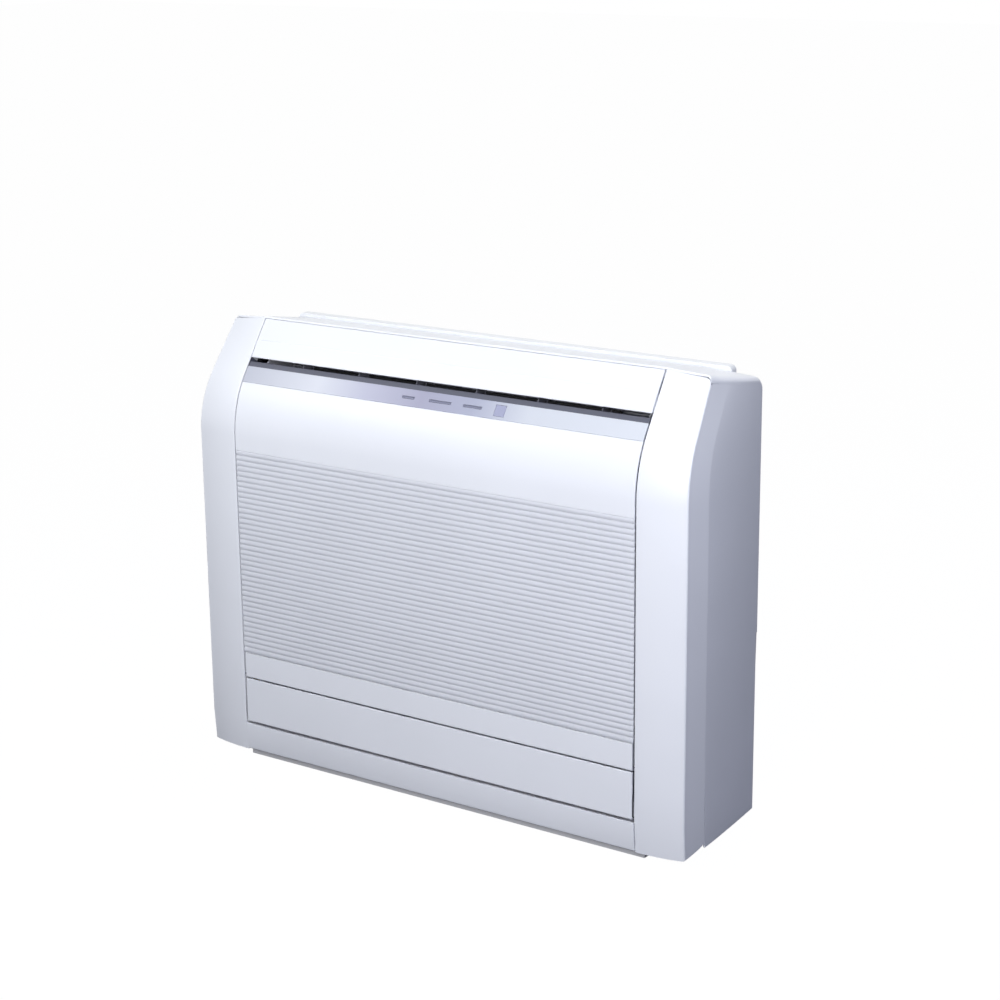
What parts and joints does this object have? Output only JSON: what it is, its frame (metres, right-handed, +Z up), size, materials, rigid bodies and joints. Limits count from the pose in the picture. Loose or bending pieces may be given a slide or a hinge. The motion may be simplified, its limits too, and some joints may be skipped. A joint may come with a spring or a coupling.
{
  "type": "floor_standing_air_conditioner",
  "caption": "White floor standing air conditioner indoor unit: curved console casing, slatted intake panel, upper and lower outlet flaps, indicator strip, coil and turbo fan inside.",
  "frame": {"origin": "Centre of the bounding box in plan, on the floor plane that the base plinth stands on.", "axes": "+X runs along the front from the unit's left end as seen from the front to its right end, -Y is the front that faces the room and +Y the flat back that goes against the wall, +Z is up."},
  "size_m": [0.74, 0.2, 0.5997],
  "materials": {
    "white_plastic": "satin moulded white",
    "grille_plastic": "satin moulded white",
    "strip_plastic": "pale lilac silver",
    "lens_dark": "smoked",
    "lens_pale": "frosted",
    "grey_plastic": "fine texture",
    "dark_plastic": "fine texture",
    "duct_plastic": "matt",
    "zinc_steel": "zinc plated",
    "fin_aluminium": "bare fins",
    "copper_tube": "drawn copper",
    "brass_nut": "turned brass",
    "circuit_board": "green board",
    "filter_mesh": "open mesh in a frame"
  },
  "bodies": {
    "casing": {"left_wing": "white_plastic", "right_wing": "white_plastic", "left_side_panel": "white_plastic", "right_side_panel": "white_plastic", "top_cover": "white_plastic", "rear_top_rail": "grey_plastic", "bottom_skirt": "white_plastic", "base_plinth": "grey_plastic", "rear_casing": "grey_plastic", "wall_bracket": "zinc_steel", "upper_flap_motor": "dark_plastic", "lower_flap_motor": "dark_plastic", "indicator_strip": "strip_plastic", "lamp_lens_1": "lens_pale", "lamp_lens_2": "lens_pale", "lamp_lens_3": "lens_pale", "ir_receiver_lens": "lens_dark", "display_board": "circuit_board", "inner_frame": "grey_plastic", "control_board": "circuit_board", "coil_fins": "fin_aluminium", "coil_left_end": "zinc_steel", "coil_right_end": "zinc_steel", "drain_pan": "grey_plastic", "gas_pipe": "copper_tube", "liquid_pipe": "copper_tube", "gas_flare_nut": "brass_nut", "liquid_flare_nut": "brass_nut", "inlet_plate": "grey_plastic", "fan_motor": "zinc_steel", "motor_bracket": "zinc_steel", "left_scroll_wall": "grey_plastic", "right_scroll_wall": "grey_plastic", "upper_outlet_duct": "duct_plastic", "lower_outlet_duct": "duct_plastic", "electrical_box": "grey_plastic", "electrical_box_cover": "zinc_steel", "main_circuit_board": "circuit_board", "terminal_block": "grey_plastic"},
    "fan": {"turbo_fan": "grey_plastic", "fan_shaft": "zinc_steel", "fan_nut": "brass_nut"},
    "upper_flap": {"upper_flap": "white_plastic"},
    "lower_flap": {"lower_flap": "white_plastic"},
    "front_panel": {"front_panel_shell": "white_plastic", "intake_grille": "grille_plastic"},
    "left_air_filter": {"left_air_filter": "filter_mesh"},
    "right_air_filter": {"right_air_filter": "filter_mesh"},
    "upper_vane_1": {"upper_vane_1": "duct_plastic"},
    "upper_vane_2": {"upper_vane_2": "duct_plastic"},
    "upper_vane_3": {"upper_vane_3": "duct_plastic"},
    "upper_vane_4": {"upper_vane_4": "duct_plastic"},
    "upper_vane_5": {"upper_vane_5": "duct_plastic"},
    "upper_vane_6": {"upper_vane_6": "duct_plastic"},
    "vane_link": {"vane_link": "dark_plastic"},
    "manual_button": {"manual_button": "grey_plastic"},
    "outlet_selector_switch": {"outlet_selector_switch": "grey_plastic"},
    "left_panel_catch": {"left_panel_catch": "grey_plastic"},
    "right_panel_catch": {"right_panel_catch": "grey_plastic"}
  },
  "joints": [
    {"name": "fan_spin", "type": "hinge", "parent": "casing", "child": "fan", "pos_m": [0, 0, 0.3], "axis": [0, 1, 0], "continuous": true},
    {"name": "upper_flap_tilt", "type": "hinge", "parent": "casing", "child": "upper_flap", "pos_m": [0, -0.04701, 0.55349], "axis": [1, 0, 0], "range_deg": [0, 65]},
    {"name": "lower_flap_tilt", "type": "hinge", "parent": "casing", "child": "lower_flap", "pos_m": [0, -0.09, 0.056], "axis": [1, 0, 0], "range_deg": [0, 80]},
    {"name": "panel_hinge", "type": "hinge", "parent": "casing", "child": "front_panel", "pos_m": [0, -0.0964, 0.1166], "axis": [1, 0, 0], "range_deg": [0, 75]},
    {"name": "left_filter_lift", "type": "slide", "parent": "casing", "child": "left_air_filter", "axis": [0, 0, 1], "range_m": [0, 0.012]},
    {"name": "right_filter_lift", "type": "slide", "parent": "casing", "child": "right_air_filter", "axis": [0, 0, 1], "range_m": [0, 0.012]},
    {"name": "vane_link_shift", "type": "slide", "parent": "casing", "child": "vane_link", "axis": [1, 0, 0], "range_m": [-0.0052, 0.0052]},
    {"name": "upper_vane_1_swing", "type": "hinge", "parent": "casing", "child": "upper_vane_1", "pos_m": [-0.225, -0.04455, 0.52454], "axis": [0, 0.5878, 0.809], "range_deg": [-30, 30]},
    {"name": "upper_vane_2_swing", "type": "hinge", "parent": "casing", "child": "upper_vane_2", "pos_m": [-0.135, -0.04455, 0.52454], "axis": [0, 0.5878, 0.809], "range_deg": [-30, 30]},
    {"name": "upper_vane_3_swing", "type": "hinge", "parent": "casing", "child": "upper_vane_3", "pos_m": [-0.045, -0.04455, 0.52454], "axis": [0, 0.5878, 0.809], "range_deg": [-30, 30]},
    {"name": "upper_vane_4_swing", "type": "hinge", "parent": "casing", "child": "upper_vane_4", "pos_m": [0.045, -0.04455, 0.52454], "axis": [0, 0.5878, 0.809], "range_deg": [-30, 30]},
    {"name": "upper_vane_5_swing", "type": "hinge", "parent": "casing", "child": "upper_vane_5", "pos_m": [0.135, -0.04455, 0.52454], "axis": [0, 0.5878, 0.809], "range_deg": [-30, 30]},
    {"name": "upper_vane_6_swing", "type": "hinge", "parent": "casing", "child": "upper_vane_6", "pos_m": [0.225, -0.04455, 0.52454], "axis": [0, 0.5878, 0.809], "range_deg": [-30, 30]},
    {"name": "manual_button_press", "type": "slide", "parent": "casing", "child": "manual_button", "axis": [0, 1, 0], "range_m": [0, 0.0015], "stiffness_N_per_m": 400},
    {"name": "outlet_selector_slide", "type": "slide", "parent": "casing", "child": "outlet_selector_switch", "axis": [1, 0, 0], "range_m": [0, 0.006]},
    {"name": "left_catch_press", "type": "slide", "parent": "casing", "child": "left_panel_catch", "axis": [0, 1, 0], "range_m": [0, 0.003], "stiffness_N_per_m": 500},
    {"name": "right_catch_press", "type": "slide", "parent": "casing", "child": "right_panel_catch", "axis": [0, 1, 0], "range_m": [0, 0.003], "stiffness_N_per_m": 500}
  ],
  "couplings": [
    {"joint": "upper_vane_1_swing", "follows": "vane_link_shift", "rad_per_m": -100},
    {"joint": "upper_vane_2_swing", "follows": "vane_link_shift", "rad_per_m": -100},
    {"joint": "upper_vane_3_swing", "follows": "vane_link_shift", "rad_per_m": -100},
    {"joint": "upper_vane_4_swing", "follows": "vane_link_shift", "rad_per_m": -100},
    {"joint": "upper_vane_5_swing", "follows": "vane_link_shift", "rad_per_m": -100},
    {"joint": "upper_vane_6_swing", "follows": "vane_link_shift", "rad_per_m": -100}
  ]
}
